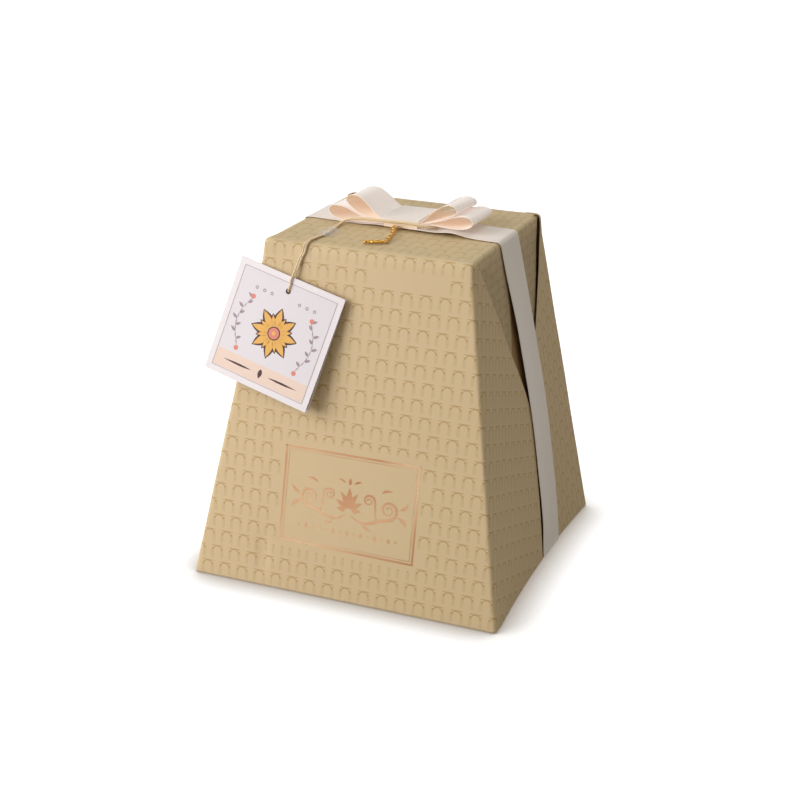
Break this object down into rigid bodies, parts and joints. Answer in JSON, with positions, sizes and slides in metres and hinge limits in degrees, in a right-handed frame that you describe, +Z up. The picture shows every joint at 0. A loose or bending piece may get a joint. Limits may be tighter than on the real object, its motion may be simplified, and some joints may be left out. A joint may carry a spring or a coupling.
{
  "type": "gift-wrapped pandoro box",
  "caption": "Truncated-pyramid cake box in folded, patterned wrapping paper, tied with a satin ribbon and double-loop bow, with a hang tag on a cord and a small gold charm on a chain.",
  "frame": {"origin": "centre of the square base, on the surface that the box stands on", "axes": "+Z up, -Y towards the front face with the hang tag, +X to the right as seen from the front"},
  "size_m": [0.2296, 0.2296, 0.2642],
  "materials": {
    "wrapping_paper": "matt beige wrapping paper with a tone-on-tone print",
    "satin_ribbon": "cream satin",
    "gold_cord": "pale gold twisted cord",
    "clear_film": "clear adhesive film",
    "tag_card": "smooth pale printed card",
    "gold_metal": "polished gold-coloured metal",
    "copper_foil": "hot-stamped copper foil"
  },
  "bodies": {
    "root": {"wrapped_box": "wrapping_paper", "ribbon_band": "satin_ribbon", "bow_lower_tier": "satin_ribbon", "bow_upper_tier": "satin_ribbon", "bow_wrap": "satin_ribbon", "hang_tag": "tag_card", "gift_cord": "gold_cord", "clear_sticker": "clear_film", "charm_loop": "gold_cord", "chain_ring": "gold_metal", "chain_link_1": "gold_metal", "chain_link_2": "gold_metal", "chain_link_3": "gold_metal", "chain_link_4": "gold_metal", "chain_link_5": "gold_metal", "chain_link_6": "gold_metal", "chain_link_7": "gold_metal", "chain_link_8": "gold_metal", "charm": "gold_metal"}
  },
  "joints": []
}
